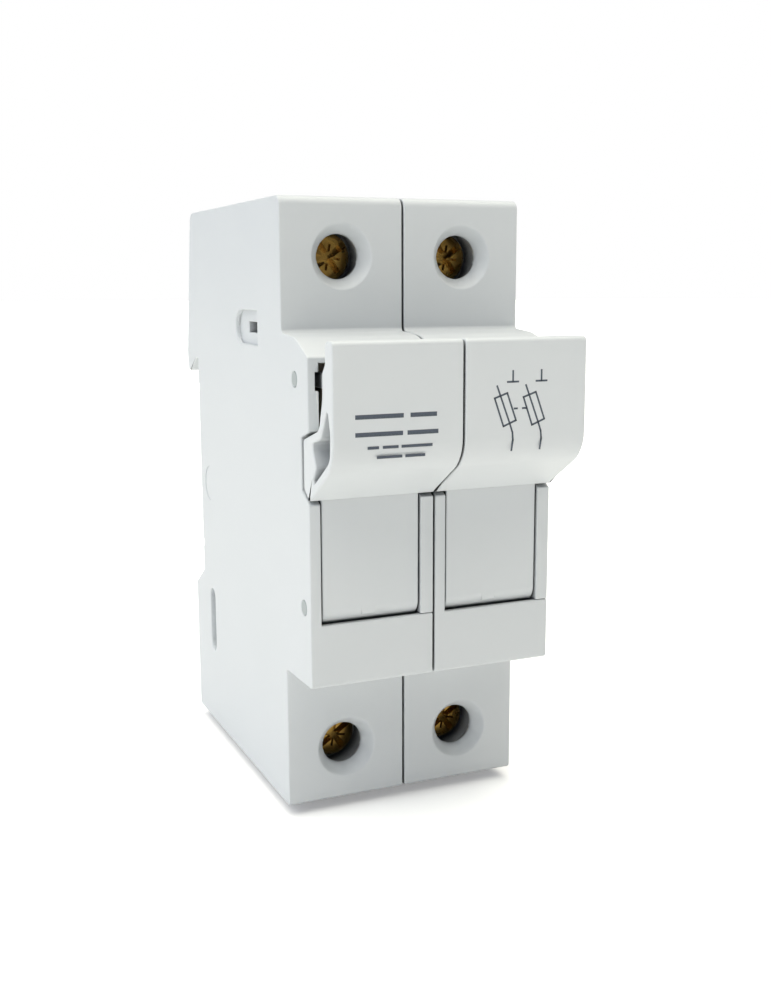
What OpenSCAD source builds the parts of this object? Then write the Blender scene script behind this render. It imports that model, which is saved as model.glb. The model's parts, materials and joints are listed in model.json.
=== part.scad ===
// Two-pole cartridge fuse holder for a 35 mm top-hat rail, millimetres.
// +Z is up, the front faces -Y, X runs across the poles.
// The origin is the middle of the face that sits on the rail.
// Side outlines are drawn as [depth, height]: depth is measured forwards from the rail face.

/* [Poles] */
// Width of one pole's body
pole_w = 17.5; // [17:0.1:21]
// Gap between the two poles' bodies
poles_gap = 0.3; // [0.1:0.1:1]

/* [Body outline] */
// Overall height of the body
body_h = 83.8; // [82:0.2:102]
// Height of the body's middle above the rail's middle
body_mid_z = -1; // [-2:0.1:1]
// Depth from the rail face to the front of the terminal blocks
terminal_d = 42.4; // [41:0.2:51]
// How far the middle block stands out in front of the terminal blocks
front_step = 10; // [8.4:0.2:12]
// Height of the middle block
mid_h = 43.4; // [43:0.2:46]
// How far the foot reaches behind the rail face
back_d = 5; // [4.6:0.1:6]

/* [Walls] */
// Side wall of the shell
side_wall = 1.55; // [1.3:0.05:1.9]
// Rim of the shell round its open side
rim = 1.6; // [1.2:0.1:2]
// Thickness of the lid
lid_t = 1.85; // [1.5:0.05:2.2]
// Gap between pieces that are assembled together
fit_gap = 0.05; // [0.03:0.01:0.1]

/* [Rail] */
// Height of the rail
rail_h = 35; // [34.5:0.1:35.5]
// Play of the rail in its recess, at each edge
rail_play = 0.15; // [0.1:0.05:0.3]
// Height of the middle strip of the rail face, between its two grooves
seat_h = 25; // [20:0.5:26]
// Width of the slot behind the upper rail edge
hook_slot = 1.25; // [1.1:0.05:1.6]
// How far the hook reaches over the upper rail edge
hook_grip = 2.2; // [1.5:0.1:3]

/* [Fuse link] */
// Diameter of the fuse link's caps
fuse_dia = 10.3; // [8.5:0.1:10.4]
// Length of the fuse link
fuse_l = 38; // [31:0.5:38]
// Length of one cap
cap_l = 10; // [8:0.5:11]

/* [Carrier] */
// Radius of the carrier round its pivot
hub_r = 2.35; // [2:0.05:2.4]
// Diameter of the pivot pins and the stop pins
pin_dia = 2; // [1.6:0.1:2.2]
// How far the handle stands out in front of the middle block
handle_reach = 8.6; // [7:0.2:11]
// Height of the handle
handle_h = 20.5; // [18:0.5:22]

/* [Terminals] */
// Diameter of the clamp screws
screw_dia = 5; // [4:0.5:5]
// Diameter of the screws' heads
head_dia = 6.6; // [6:0.1:7]
// Diameter of the screwdriver holes
driver_dia = 6; // [5:0.1:6.2]
// Diameter of the wire holes
wire_dia = 6.2; // [5:0.1:6.6]
// Travel of the clamp cages
cage_travel = 5.6; // [4:0.1:6.8]

/* [Rail clip] */
// Width of the rail clips
clip_w = 9; // [7:0.5:10]
// Thickness of the rail clips
clip_t = 2.35; // [2:0.05:2.5]
// How far the clips show below the body
clip_tail = 1.5; // [0.5:0.1:3]
// Travel of the rail clips
clip_travel = 3.5; // [2.5:0.1:3.8]

/* [Hidden] */
$fn = 64;
eps = 0.01;
past = 1; // how far a cut runs past the face it opens

pole_pitch = pole_w + poles_gap;
left_x = -pole_pitch / 2;
right_x = pole_pitch / 2;
half_w = pole_w / 2;

// the body's outline
top_z = body_mid_z + body_h / 2;
bottom_z = body_mid_z - body_h / 2;
mid_top_z = body_mid_z + mid_h / 2 - 0.2;
mid_low_z = body_mid_z - mid_h / 2;
brow_z = mid_top_z + 2.7;          // where the middle block's top meets the upper terminal block
front_d = terminal_d + front_step;
seat_half = rail_h / 2 + rail_play;
groove_w = 1;
groove_deep = 0.4;
hook_low_z = seat_half - hook_grip;
hook_d = -6;
top_back_d = -2.4;
seat_wall = 1.8;                   // wall in front of the rail
foot_slope = 3.15;                 // fall of the foot's slanted top, over back_d

// the space inside one pole, across and from front to back
wall_x = -half_w + side_wall;      // inner face of the shell's side wall
lid_x = half_w - lid_t;            // inner face of the lid
chamber_x = (wall_x + lid_x) / 2;  // the fuse link lies midway
chamber_low_z = mid_low_z + 1;
pivot_d = front_d - 2.6;
pivot_z = mid_low_z + 10.45;
window_low_z = pivot_z - 1.95;
window_top_z = mid_top_z - 0.75;
block_back_d = front_d - rim;      // inner face of the front block under the window

// the fuse link
fuse_r = fuse_dia / 2;
fuse_d = pivot_d - 5.6;
fuse_z = chamber_low_z + 1.2 + fuse_l / 2;
tube_r = fuse_r - 0.53;
tube_wall = 1.4;
cap_wall = 0.5;
fuse_low_z = fuse_z - fuse_l / 2;
fuse_top_z = fuse_z + fuse_l / 2;

// the carrier
channel_r = fuse_r + 0.1;
plate_d = pivot_d + hub_r;
plate_half_w = (lid_x - wall_x) / 2 - 0.2;
plate_back_d = fuse_d + fuse_r + 0.65;
cheek_back_d = fuse_d - 3.7;
web_half_w = fuse_r - 0.25;
pin_r = pin_dia / 2;
hub_play = 0.4;                    // round the hub, in the shell
stop_d = plate_back_d - 2.6;
stop_z = mid_top_z - 3.05;
stop_proud = 1.2;                  // how far a stop pin stands in from the wall
tab_half_h = 1;                    // of the tabs that rest on the stop pins
tab_in = 0.45;                     // how far the tabs stay inside the plate's sides
plate_top_z = stop_z + tab_half_h + 0.15;
notch_deep = 0.5;                  // of the catch notch, into the wall

// the handle
handle_d = front_d + handle_reach;
handle_top_z = mid_top_z + 2.3;
handle_low_z = handle_top_z - handle_h;
handle_t = 2.6;                    // its thickness at the top
ear_back_d = front_d - 1.9;
ear_top_z = handle_low_z + 7.75;
handle_back_d = handle_d - 3.6;
pocket_deep = 5.5;
ear_gap = 0.9;
plate_wide_top_z = ear_top_z + 0.35;

// the contacts
jaw_t = 1;
jaw_d = fuse_d - 11.2;
chamber_back_d = jaw_d - 1.2;
jaw_half_h = 4.3;
jaw_grip = fuse_r + fit_gap;       // inner face of the jaw's arms, from the fuse link's middle
jaw_end_d = pivot_d - hub_r - 0.45;
tail_half_w = 3.1;
tail_past = 3.4;                   // how far a tail runs past its screw
upper_jaw_z = fuse_top_z - cap_l / 2 - 0.6;
lower_jaw_z = fuse_low_z + cap_l / 2;
cheek_top_z = upper_jaw_z - jaw_half_h - 2.7;
cheek_low_z = lower_jaw_z + jaw_half_h + 1.7;
upper_bend_z = window_top_z + 1.65;
lower_bend_z = chamber_low_z - 3.5;
jaw_spring_t = 0.5;
jaw_spring_half_h = 2.6;
slot_play = 0.1;

// the terminals
upper_z = top_z - 7.8;
lower_z = bottom_z + 7.5;
cage_half_h = 3.75;
cage_half_w = 4.9;
cage_wall = 1.3;
cage_front_t = 2;
cage_back_t = 1.6;
cage_front_d = terminal_d - 14;
tail_d = cage_front_d - 3.9;
screw_tip_d = tail_d + jaw_t + fit_gap;
wire_d = tail_d - wire_dia / 2 - 0.1;
cage_back_d = wire_d - wire_dia / 2 - 0.1 - cage_back_t;
cage_room = 0.35;
rooms_front_d = cage_back_d - 2.2; // front of the empty rooms behind the terminals
room_front_d = cage_front_d + cage_travel + 0.1;
head_back_d = room_front_d + 0.8;  // the screw's head bears on the wall in front of the room
head_t = 2.2;
screw_play = 0.1;
well_r = head_dia / 2 + 0.9;       // of the well that the head turns in
well_lip = 0.6;                    // left between the well and the dish in front of it
dish_dia = 8.6;
dish_deep = 1.8;

// the rail clip
clip_back_d = -3.5;
clip_play = 0.15;
nose_z = -rail_h / 2 + 1.6;
clip_arm_z = -seat_half - 10.35;
clip_arm_t = 1.6;
clip_spring_l = clip_travel + 5;
clip_spring_dia = 3.8;
clip_spring_d = 1.3;
clip_spring_wire = 0.6;

// the joining pieces between the poles: a D-shaped clip with a prong, and a key with round ends
gang_plate_deep = 0.7;
gang_slot_deep = 0.9;
gang_front_d = tail_d + 7.7;
gang_z = upper_bend_z + 2.1;
gang_h = 4.8;
gang_l = 10.2;
prong_front_d = gang_front_d - 0.2;
prong_l = 5.8;
prong_h = 1.5;
prong_reach = 1.5;                 // how far the prong reaches past the shell's side wall
key_d = 4.9;
key_z = -seat_half - 7.65;
key_w = 2.8;
key_h = 10.6;

// round mark of an ejector pin, on the shell's outer side
ejector_d = 5.2;
ejector_z = -2.3;
ejector_r = 2.8;
ejector_deep = 0.12;

// ---- helpers ----

function unit(v) = v / norm(v);

// one corner of a rounded outline: a, b, c are [depth, height, radius], b is the corner
function corner(a, b, c, n) =
    b[2] == 0 ? [[b[0], b[1]]] :
    let (p = [b[0], b[1]],
         u = unit([a[0], a[1]] - p),
         v = unit([c[0], c[1]] - p),
         half = acos(u * v) / 2,
         middle = p + unit(u + v) * b[2] / sin(half),
         from = p + u * b[2] / tan(half) - middle,
         to = p + v * b[2] / tan(half) - middle,
         start = atan2(from[1], from[0]),
         turn = atan2(to[1], to[0]) - start,
         short = turn > 180 ? turn - 360 : turn < -180 ? turn + 360 : turn)
    [for (k = [0 : n]) middle + b[2] * [cos(start + short * k / n), sin(start + short * k / n)]];

function rounded(points, n = 6) =
    let (last = len(points) - 1)
    [for (i = [0 : last])
        each corner(points[i == 0 ? last : i - 1], points[i], points[i == last ? 0 : i + 1], n)];

// a side outline drawn as [depth, height], made solid from x0 to x1
module across(x0, x1) {
    translate([x1, 0, 0]) rotate([90, 0, -90]) linear_extrude(x1 - x0) children();
}

// a block from its ranges of x, depth and height
module block(x, d, z) {
    translate([x[0], -d[1], z[0]]) cube([x[1] - x[0], d[1] - d[0], z[1] - z[0]]);
}

// a round bar along Y, from depth d0 to d1
module bar_y(x, z, r, d0, d1) {
    translate([x, -d0, z]) rotate([90, 0, 0]) cylinder(r = r, h = d1 - d0);
}

// a round bar along X, at one depth and height
module bar_x(d, z, r, x0, x1) {
    translate([x0, -d, z]) rotate([0, 90, 0]) cylinder(r = r, h = x1 - x0);
}

module at_pole(x) {
    translate([x, 0, 0]) children();
}

// ---- the pole's shell and lid ----

module body_side() {
    polygon(rounded([
        [top_back_d, top_z, 1.7],
        [terminal_d, top_z, 1.3],
        [terminal_d, brow_z, 0.6],
        [front_d - 4.6, brow_z - 0.45, 8],
        [front_d, mid_top_z, 0.4],
        [front_d, mid_low_z, 0.6],
        [terminal_d, mid_low_z - 0.2, 0.3],
        [terminal_d, bottom_z, 0.4],
        [-back_d, bottom_z, 0.6],
        [-back_d, -seat_half - foot_slope, 0.8],
        [0, -seat_half, 0.15],
        [0, seat_half, 0],
        [-hook_slot, seat_half, 0],
        [hook_d + 1.4, hook_low_z, 0.2],
        [hook_d, hook_low_z, 0.5],
        [hook_d - 0.6, hook_low_z + 2.75, 2]
    ]));
}

// shallow grooves that part the middle of the rail face from the two strips that touch the rail
module seat_grooves() {
    for (z = [-seat_h / 2 - groove_w, seat_h / 2])
        translate([-past, z]) square([past + groove_deep, groove_w]);
}

// where the ears of the handle swing in front of the side walls
module ear_notch() {
    polygon([
        [ear_back_d - ear_gap, ear_top_z + 0.1],
        [ear_back_d - ear_gap, ear_top_z - 6.7],
        [front_d, handle_low_z - 0.55],
        [front_d + past, handle_low_z - 0.95],
        [front_d + past, ear_top_z + 1.4],
        [front_d, ear_top_z + 1.05]
    ]);
}

module lid_side(gap) {
    o = rim + gap;
    difference() {
        polygon([
            [top_back_d + o * 0.95, top_z - o],
            [terminal_d - o, top_z - o],
            [terminal_d - o, brow_z - o],
            [terminal_d + 4.8, window_top_z - gap],
            [front_d, window_top_z - gap],
            [front_d, window_low_z + gap],
            [block_back_d - gap, window_low_z + gap],
            [block_back_d - gap, mid_low_z + o],
            [terminal_d - o, mid_low_z + o],
            [terminal_d - o, bottom_z + o],
            [-back_d + o, bottom_z + o],
            [-back_d + o, -seat_half - foot_slope - o * 0.75],
            [o, -seat_half - o * 0.7],
            [o, seat_half + o],
            [hook_d + o, seat_half + o]
        ]);
        ear_notch();
    }
}

// the way that a contact takes from the jaw to its tail
module contact_path(jaw_z, bend_z, end_z, play) {
    up = bend_z > jaw_z ? 1 : -1;
    module leg(d0, d1, z0, z1) {
        translate([d0 - play, min(z0, z1) - play])
            square([d1 - d0 + 2 * play, abs(z1 - z0) + 2 * play]);
    }
    leg(jaw_d, jaw_d + jaw_t, jaw_z, bend_z + up * jaw_t / 2);
    leg(tail_d, jaw_d + jaw_t, bend_z - jaw_t / 2, bend_z + jaw_t / 2);
    leg(tail_d, tail_d + jaw_t, bend_z - up * jaw_t / 2, end_z);
}

module stadium(d, z, w, h) {
    translate([d, z + (h - w) / 2]) circle(d = w);
    translate([d, z - (h - w) / 2]) circle(d = w);
    translate([d - w / 2, z - (h - w) / 2]) square([w, h - w]);
}

// D-shaped outline of the joining clip: straight in front, round behind
module gang_side(gap) {
    r = gang_h / 2 - gap;
    round_d = gang_front_d - gang_l + gang_h / 2;
    translate([round_d, gang_z]) circle(r = r);
    translate([round_d, gang_z - r]) square([gang_front_d - gap - round_d, 2 * r]);
}

module prong(x0, x1, gap) {
    block([x0, x1],
        [prong_front_d - prong_l + gap, prong_front_d - gap],
        [gang_z - prong_h / 2 + gap, gang_z + prong_h / 2 - gap]);
}

module key_side(gap) {
    stadium(key_d, key_z, key_w - 2 * gap, key_h - 2 * gap);
}

module terminal_room(z) {
    translate([cage_back_d - 0.6, z - cage_half_h - cage_room])
        square([room_front_d - cage_back_d + 0.6, 2 * (cage_half_h + cage_room)]);
}

// all the hollows that open to the lid's side
module hollows() {
    difference() {
        translate([chamber_back_d, chamber_low_z])
            square([front_d + past - chamber_back_d, window_top_z - chamber_low_z]);
        // the front block under the window, hollowed round the carrier's hub
        difference() {
            translate([block_back_d, chamber_low_z - past])
                square([front_d - block_back_d + 2 * past, window_low_z - chamber_low_z + past]);
            translate([pivot_d, pivot_z]) circle(r = hub_r + hub_play);
        }
    }
    contact_path(upper_jaw_z, upper_bend_z, upper_z, slot_play);
    contact_path(lower_jaw_z, lower_bend_z, lower_z, slot_play);
    terminal_room(upper_z);
    terminal_room(lower_z);
    // the room behind the fuse chamber
    translate([seat_wall, -seat_half + 2.05])
        square([chamber_back_d - rim - seat_wall, 2 * seat_half - 5.1]);
    // the room behind the upper terminals
    polygon([
        [top_back_d - 0.2, seat_half + 1.9], [rooms_front_d, seat_half + 1.9],
        [rooms_front_d, top_z - rim], [top_back_d + 1.7, top_z - rim]
    ]);
    // the room behind the lower terminals
    translate([clip_spring_d + 4.4, bottom_z + rim])
        square([rooms_front_d - clip_spring_d - 4.4, 22]);
}

module driver_hole(z) {
    bar_y(0, z, screw_dia / 2 + screw_play, room_front_d - past, head_back_d);
    bar_y(0, z, well_r, head_back_d - fit_gap, terminal_d - dish_deep - well_lip);
    bar_y(0, z, driver_dia / 2, head_back_d, terminal_d + past);
    // the dish is a cone that runs on past the face
    slope = (dish_dia - driver_dia) / 2 / dish_deep;
    translate([0, -terminal_d + dish_deep, z]) rotate([90, 0, 0])
        cylinder(r1 = driver_dia / 2, r2 = dish_dia / 2 + slope * past, h = dish_deep + past);
}

module wire_hole(z0, z1) {
    translate([0, -wire_d, z0]) cylinder(d = wire_dia, h = z1 - z0);
}

// the catch notch in the window's edge, where the stop pin stands
module catch_notch(x, side) {
    block([x - (side < 0 ? notch_deep : past), x + (side < 0 ? past : notch_deep)],
        [stop_d - 2, front_d + past],
        [stop_z - tab_half_h - 0.2, stop_z + tab_half_h + 0.2]);
}

module clip_channel() {
    half = clip_w / 2 + clip_play;
    block([-half, half], [clip_back_d - clip_play, clip_back_d + clip_t + clip_play],
        [bottom_z - past, -seat_half + past]);
    block([-clip_spring_dia / 2 - 0.5, clip_spring_dia / 2 + 0.5],
        [clip_back_d + clip_t, clip_spring_d + clip_spring_dia / 2 + 0.4],
        [clip_arm_z - clip_spring_l, clip_arm_z + clip_arm_t + 0.5]);
}

module shell() {
    difference() {
        across(-half_w, half_w) difference() {
            body_side();
            seat_grooves();
        }
        across(wall_x, lid_x + eps) intersection() {
            hollows();
            translate([-back_d, bottom_z]) square([front_d + back_d + past, body_h]);
        }
        across(lid_x, half_w + past) lid_side(0);
        // the window's edge steps back to the side wall for the whole width of the opening
        block([lid_x - eps, half_w + past], [block_back_d, front_d + past], [window_low_z, window_top_z]);
        across(-half_w - past, half_w + past) ear_notch();
        catch_notch(wall_x, -1);
        driver_hole(upper_z);
        driver_hole(lower_z);
        wire_hole(upper_z, top_z + past);
        wire_hole(bottom_z - past, lower_z);
        clip_channel();
        // outer recesses for the pieces that join two poles
        across(-half_w - past, -half_w + gang_plate_deep) gang_side(0);
        prong(-half_w - past, wall_x + prong_reach + 0.2, 0);
        across(-half_w - past, -half_w + gang_slot_deep)
            key_side(0);
        // pin holes
        bar_x(pivot_d, pivot_z, pin_r + 0.02, -half_w - past, wall_x + past);
        bar_x(stop_d, stop_z, pin_r + 0.02, -half_w - past, wall_x + past);
        bar_x(ejector_d, ejector_z, ejector_r, -half_w - past, -half_w + ejector_deep);
    }
}

module lid() {
    difference() {
        across(lid_x, half_w) lid_side(fit_gap);
        catch_notch(lid_x, 1);
        prong(lid_x - past, half_w + past, 0);
        across(half_w - gang_slot_deep, half_w + past)
            key_side(0);
        bar_x(pivot_d, pivot_z, pin_r + 0.02, lid_x - past, half_w + past);
        bar_x(stop_d, stop_z, pin_r + 0.02, lid_x - past, half_w + past);
    }
}

// ---- the fuse carrier with its handle ----

module handle_side() {
    polygon(rounded([
        [handle_d - handle_t, handle_top_z, 1],
        [handle_d, handle_top_z, 0.7],
        [handle_d, handle_low_z + (handle_d - front_d) * 0.625, 5],
        [front_d, handle_low_z, 0.2],
        [ear_back_d, handle_low_z + 1.35, 0.4],
        [ear_back_d, ear_top_z, 0.4],
        [handle_back_d - 1.2, ear_top_z + 1.7, 2],
        [handle_back_d, ear_top_z + 5.6, 3],
        [handle_back_d + 0.2, handle_top_z - 3.8, 0.3],
        [handle_back_d + 1.1, handle_top_z - 2.8, 0.3]
    ]));
}

// the hollow in the side of the handle
module handle_pocket(gap) {
    polygon(rounded([
        [handle_d - 1.9 - gap, ear_top_z + 4.8 - gap, 0.4],
        [handle_d - 1.05 - gap, ear_top_z + 1.5, 3],
        [handle_d - 1.25 - gap, ear_top_z - 1.7, 2],
        [front_d + 1.8, handle_low_z + 2.45 + 1.3 * gap, 0.2],
        [front_d + 1.3 + gap, handle_low_z + 2.75, 0.2],
        [front_d + 2.6 + gap, ear_top_z - 3.1, 0.6],
        [front_d + 1.5 + gap, ear_top_z - 1, 0.8],
        [front_d + 1.5 + gap, ear_top_z - 0.1 - gap, 0.4],
        [handle_back_d - 0.7 + gap, ear_top_z + 0.6 - gap, 1.5]
    ], 4));
}

module carrier() {
    difference() {
        union() {
            at_pole(chamber_x) {
                // front plate, wide below and narrow behind the handle
                block([-plate_half_w, plate_half_w], [plate_back_d, plate_d], [pivot_z, plate_wide_top_z]);
                block([-web_half_w, web_half_w], [plate_back_d, plate_d], [pivot_z, plate_top_z]);
                // the tabs that rest on the stop pins
                block([-plate_half_w + tab_in, plate_half_w - tab_in],
                    [plate_back_d, plate_d - 0.5], [stop_z - tab_half_h, stop_z + tab_half_h]);
                for (s = [-1, 1])
                    block([s < 0 ? -plate_half_w + tab_in : web_half_w - eps,
                           s < 0 ? -web_half_w + eps : plate_half_w - tab_in],
                        [stop_d + pin_r + 0.1, plate_back_d + eps],
                        [stop_z - tab_half_h, stop_z + tab_half_h]);
                // hub round the pivot pins
                bar_x(pivot_d, pivot_z, hub_r, -plate_half_w, plate_half_w);
                // web and floor under the fuse link
                block([-web_half_w, web_half_w], [plate_back_d - 0.5, plate_back_d + 0.55],
                    [chamber_low_z + 0.3, pivot_z]);
                block([-web_half_w, web_half_w], [fuse_d - 2.7, plate_back_d + 0.55],
                    [chamber_low_z + 0.3, fuse_low_z - 0.1]);
                // lip that keeps the fuse link in
                block([-2.5, 2.5], [plate_back_d - 2.8, plate_back_d + eps],
                    [fuse_top_z + 0.2, fuse_top_z + 1]);
                // cheeks that hug the fuse link's tube
                block([-plate_half_w, plate_half_w], [cheek_back_d, plate_back_d + 0.2],
                    [cheek_low_z, cheek_top_z]);
                // small tongue on the plate's lower edge
                block([-1.35, 0.55], [plate_d - 0.6, plate_d], [pivot_z - 1.15, pivot_z]);
            }
            across(-half_w, half_w) handle_side();
        }
        translate([chamber_x, -fuse_d, fuse_low_z - 0.1])
            cylinder(r = channel_r, h = fuse_l + 0.3);
        for (s = [-1, 1])
            at_pole(chamber_x)
                bar_x(pivot_d, pivot_z, pin_r + fit_gap,
                    s < 0 ? -plate_half_w - past : 0, s < 0 ? 0 : plate_half_w + past);
        across(-half_w - past, -half_w + pocket_deep) handle_pocket(0);
        across(half_w - pocket_deep, half_w + past) handle_pocket(0);
    }
}

// plug that fills the two hollows that face each other and ties the handles together
module handle_tie() {
    color("gainsboro")
        across(-poles_gap / 2 - pocket_deep + 0.1, poles_gap / 2 + pocket_deep - 0.1)
            handle_pocket(fit_gap);
}

// ---- the fuse link ----

module fuse_tube(x) {
    color("ivory")
        translate([x + chamber_x, -fuse_d, fuse_low_z + cap_wall + 0.1]) difference() {
            cylinder(r = tube_r, h = fuse_l - 2 * cap_wall - 0.2);
            translate([0, 0, -past]) cylinder(r = tube_r - tube_wall, h = fuse_l + past);
        }
}

module fuse_caps(x) {
    color("silver")
        translate([x + chamber_x, -fuse_d, fuse_z])
            for (s = [0, 180])
                rotate([s, 0, 0]) translate([0, 0, fuse_l / 2 - cap_l]) difference() {
                    cylinder(r = fuse_r, h = cap_l);
                    translate([0, 0, -past]) cylinder(r = tube_r + 0.03, h = cap_l - cap_wall + past);
                }
}

// notched strip that melts when the current is too high
module fuse_element(x) {
    strip_l = fuse_l - 2 * cap_wall - 0.4;
    color("silver")
        translate([x + chamber_x, -fuse_d, fuse_z]) difference() {
            cube([3, 0.3, strip_l], center = true);
            for (k = [-2 : 2]) for (s = [-1, 1])
                translate([s * 1.5, 0, k * 5]) rotate([90, 0, 0])
                    cylinder(r = 1.1, h = 1, center = true);
        }
}

// ---- the contacts ----

module jaw(x, jaw_z, bend_z, end_z) {
    color("peru") at_pole(x) {
        translate([chamber_x, 0, jaw_z - jaw_half_h]) linear_extrude(2 * jaw_half_h) {
            translate([-jaw_grip - jaw_t, -jaw_d - jaw_t]) square([2 * (jaw_grip + jaw_t), jaw_t]);
            for (s = [-1, 1])
                polygon([
                    [s * jaw_grip, -jaw_d - jaw_t / 2],
                    [s * (jaw_grip + jaw_t), -jaw_d - jaw_t / 2],
                    [s * (jaw_grip + jaw_t), -jaw_end_d + 1.4],
                    [s * (jaw_grip + jaw_t + 0.35), -jaw_end_d + 0.3],
                    [s * (jaw_grip + 0.55), -jaw_end_d],
                    [s * jaw_grip, -jaw_end_d + 1.4]
                ]);
        }
        across(-tail_half_w, tail_half_w) contact_path(jaw_z, bend_z, end_z, 0);
    }
}

// steel clip that presses the jaw's arms together
module jaw_spring(x, jaw_z) {
    inner = jaw_grip + jaw_t + 0.1;
    outer = inner + jaw_spring_t;
    back = jaw_d - 0.7;
    front = jaw_end_d - 2.1;
    color("lightsteelblue")
        translate([x + chamber_x, 0, jaw_z - jaw_spring_half_h])
            linear_extrude(2 * jaw_spring_half_h) difference() {
                translate([-outer, -front]) square([2 * outer, front - back]);
                translate([-inner, -front - past]) square([2 * inner, front - back - jaw_spring_t + past]);
            }
}

// ---- the terminals ----

module cage(x, z) {
    inner_half = cage_half_w - cage_wall;
    color("silver") at_pole(x) difference() {
        block([-cage_half_w, cage_half_w], [cage_back_d, cage_front_d], [z - cage_half_h, z + cage_half_h]);
        block([-inner_half, inner_half], [cage_back_d + cage_back_t, cage_front_d - cage_front_t],
            [z - cage_half_h - past, z + cage_half_h + past]);
        bar_y(0, z, screw_dia / 2 + fit_gap, cage_front_d - cage_front_t - past, cage_front_d + past);
        // grooves that bite into the wire
        for (k = [-1 : 1])
            block([-inner_half, inner_half],
                [cage_back_d + cage_back_t - 0.3, cage_back_d + cage_back_t + eps],
                [z + k * 2 - 0.4, z + k * 2 + 0.4]);
    }
}

module screw(x, z) {
    color("goldenrod") at_pole(x) difference() {
        union() {
            bar_y(0, z, screw_dia / 2, screw_tip_d, head_back_d + eps);
            bar_y(0, z, head_dia / 2, head_back_d, head_back_d + head_t);
        }
        // cross slot
        for (a = [35, 125])
            translate([0, -head_back_d - head_t, z]) rotate([0, a, 0])
                cube([4.6, 2.4, 0.95], center = true);
    }
}

// ---- the rail clip ----

module rail_clip(x) {
    front = clip_back_d + clip_t;
    tail_z = bottom_z - clip_tail;
    color("whitesmoke") at_pole(x) {
        difference() {
            across(-clip_w / 2, clip_w / 2)
                polygon([
                    [clip_back_d, tail_z], [front, tail_z], [front, nose_z - 0.4],
                    [front - 0.6, nose_z], [clip_back_d, nose_z - 2.4]
                ]);
            // slot for the screwdriver that pulls the clip down
            block([-2.5, 2.5], [clip_back_d - past, front + past], [tail_z + 0.8, tail_z + 2.3]);
        }
        block([-clip_spring_dia / 2 - 0.2, clip_spring_dia / 2 + 0.2],
            [front - eps, clip_spring_d + clip_spring_dia / 2 + 0.1],
            [clip_arm_z, clip_arm_z + clip_arm_t]);
    }
}

module clip_spring(x) {
    color("lightgray")
        translate([x, -clip_spring_d, clip_arm_z - clip_spring_l]) difference() {
            cylinder(d = clip_spring_dia, h = clip_spring_l);
            translate([0, 0, -past])
                cylinder(d = clip_spring_dia - 2 * clip_spring_wire, h = clip_spring_l + 2 * past);
        }
}

// ---- pins and joining pieces ----

// one pin in the shell's wall and one in the lid, for each pole
module wall_pins(d, z, reach) {
    color("darkgray")
        for (x = [left_x, right_x]) at_pole(x) {
            bar_x(d, z, pin_r, -half_w, chamber_x - reach);
            bar_x(d, z, pin_r, chamber_x + reach, half_w);
        }
}

// clip that snaps through the facing walls of two poles
module gang_clip() {
    face = poles_gap / 2;
    color("gainsboro") {
        across(face - eps, face + gang_plate_deep - fit_gap) gang_side(fit_gap);
        prong(-face - lid_t, face + side_wall + prong_reach, fit_gap);
    }
}

module gang_key() {
    half = poles_gap / 2 + gang_slot_deep - fit_gap;
    color("gainsboro") across(-half, half)
        key_side(fit_gap);
}

color("gainsboro") at_pole(left_x) shell();  // shell_left
color("gainsboro") at_pole(right_x) shell();  // shell_right
color("lightgray") at_pole(left_x) lid();  // lid_left
color("lightgray") at_pole(right_x) lid();  // lid_right
color("silver") at_pole(left_x) carrier();  // carrier_left
color("silver") at_pole(right_x) carrier();  // carrier_right
handle_tie();
fuse_tube(left_x);  // fuse_tube_left
fuse_tube(right_x);  // fuse_tube_right
fuse_caps(left_x);  // fuse_caps_left
fuse_caps(right_x);  // fuse_caps_right
fuse_element(left_x);  // fuse_element_left
fuse_element(right_x);  // fuse_element_right
jaw(left_x, upper_jaw_z, upper_bend_z, upper_z + tail_past);  // jaw_upper_left
jaw(right_x, upper_jaw_z, upper_bend_z, upper_z + tail_past);  // jaw_upper_right
jaw(left_x, lower_jaw_z, lower_bend_z, lower_z - tail_past);  // jaw_lower_left
jaw(right_x, lower_jaw_z, lower_bend_z, lower_z - tail_past);  // jaw_lower_right
jaw_spring(left_x, upper_jaw_z);  // jaw_spring_upper_left
jaw_spring(right_x, upper_jaw_z);  // jaw_spring_upper_right
jaw_spring(left_x, lower_jaw_z);  // jaw_spring_lower_left
jaw_spring(right_x, lower_jaw_z);  // jaw_spring_lower_right
cage(left_x, upper_z);  // cage_upper_left
cage(right_x, upper_z);  // cage_upper_right
cage(left_x, lower_z);  // cage_lower_left
cage(right_x, lower_z);  // cage_lower_right
screw(left_x, upper_z);  // screw_upper_left
screw(right_x, upper_z);  // screw_upper_right
screw(left_x, lower_z);  // screw_lower_left
screw(right_x, lower_z);  // screw_lower_right
rail_clip(left_x);  // rail_clip_left
rail_clip(right_x);  // rail_clip_right
clip_spring(left_x);  // clip_spring_left
clip_spring(right_x);  // clip_spring_right
wall_pins(pivot_d, pivot_z, fuse_r + 0.3);  // pivot_pins
wall_pins(stop_d, stop_z, (lid_x - wall_x) / 2 - stop_proud);  // stop_pins
gang_clip();
gang_key();
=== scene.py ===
"""Looks of the two-pole cartridge fuse holder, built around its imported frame.

+Z is up, -Y is the front with the handles, +X runs across the poles. Lengths in this
script are millimetres until they reach a mesh, and depth is measured forwards from the
face that sits on the rail, so depth = -Y.
"""
import json
import math

import bmesh
import bpy
from mathutils import Matrix, Vector


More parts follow.
